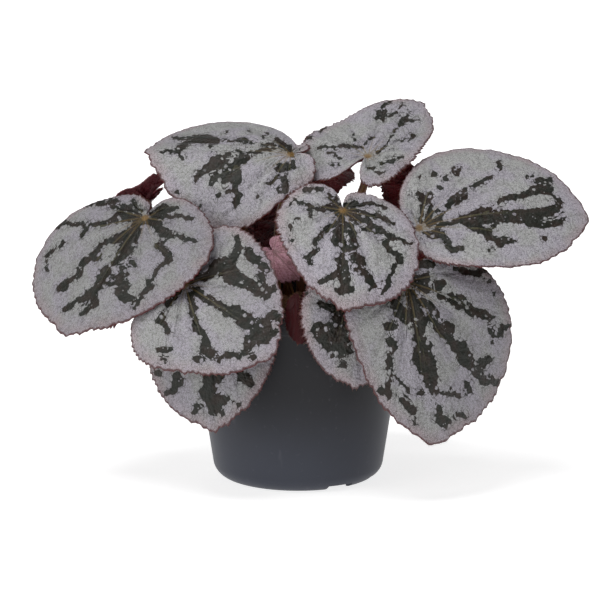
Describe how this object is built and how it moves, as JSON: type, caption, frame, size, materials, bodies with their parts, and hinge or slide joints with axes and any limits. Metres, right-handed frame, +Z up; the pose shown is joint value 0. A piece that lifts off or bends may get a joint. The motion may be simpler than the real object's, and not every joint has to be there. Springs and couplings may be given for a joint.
{
  "type": "potted rex begonia",
  "caption": "Potted rex begonia: silvery lopsided heart-shaped leaves with dark blotches on hairy red stalks, rising from a creeping stem in a dark plastic nursery pot.",
  "frame": {"origin": "middle of the pot's flat underside, on the surface it stands on", "axes": "+Z up; -Y towards the plant's best side, as seen in the picture; +X to the right of that view"},
  "size_m": [0.2979, 0.1808, 0.2011],
  "materials": {
    "pot_plastic": "matte moulded anthracite plastic",
    "potting_soil": "rough dark peat crumbs",
    "creeping_stem": "rough ringed brown stem",
    "leaf_blade": "silver-lilac upper face with near-black blotches, dark red underside, pink hairy edge",
    "young_blade": "rose-pink wrinkled young leaf",
    "leaf_stalk": "orange-red stalk with pale hairs"
  },
  "bodies": {
    "root": {"pot": "pot_plastic", "soil": "potting_soil", "creeping_stem": "creeping_stem", "left_leaf_blade": "leaf_blade", "left_leaf_stalk": "leaf_stalk", "upper_left_leaf_blade": "leaf_blade", "upper_left_leaf_stalk": "leaf_stalk", "top_leaf_blade": "leaf_blade", "top_leaf_stalk": "leaf_stalk", "front_leaf_blade": "leaf_blade", "front_leaf_stalk": "leaf_stalk", "right_leaf_blade": "leaf_blade", "right_leaf_stalk": "leaf_stalk", "lower_right_leaf_blade": "leaf_blade", "lower_right_leaf_stalk": "leaf_stalk", "lower_left_leaf_blade": "leaf_blade", "lower_left_leaf_stalk": "leaf_stalk", "left_rim_leaf_blade": "leaf_blade", "left_rim_leaf_stalk": "leaf_stalk", "front_rim_leaf_blade": "leaf_blade", "front_rim_leaf_stalk": "leaf_stalk", "left_back_leaf_blade": "leaf_blade", "left_back_leaf_stalk": "leaf_stalk", "right_back_leaf_blade": "leaf_blade", "right_back_leaf_stalk": "leaf_stalk", "back_leaf_blade": "leaf_blade", "back_leaf_stalk": "leaf_stalk", "back_left_leaf_blade": "leaf_blade", "back_left_leaf_stalk": "leaf_stalk", "back_right_leaf_blade": "leaf_blade", "back_right_leaf_stalk": "leaf_stalk", "left_side_leaf_blade": "leaf_blade", "left_side_leaf_stalk": "leaf_stalk", "right_side_leaf_blade": "leaf_blade", "right_side_leaf_stalk": "leaf_stalk", "back_rim_leaf_blade": "leaf_blade", "back_rim_leaf_stalk": "leaf_stalk", "young_inner_leaf_blade": "young_blade", "young_inner_leaf_stalk": "leaf_stalk", "young_rim_leaf_blade": "young_blade", "young_rim_leaf_stalk": "leaf_stalk"}
  },
  "joints": []
}
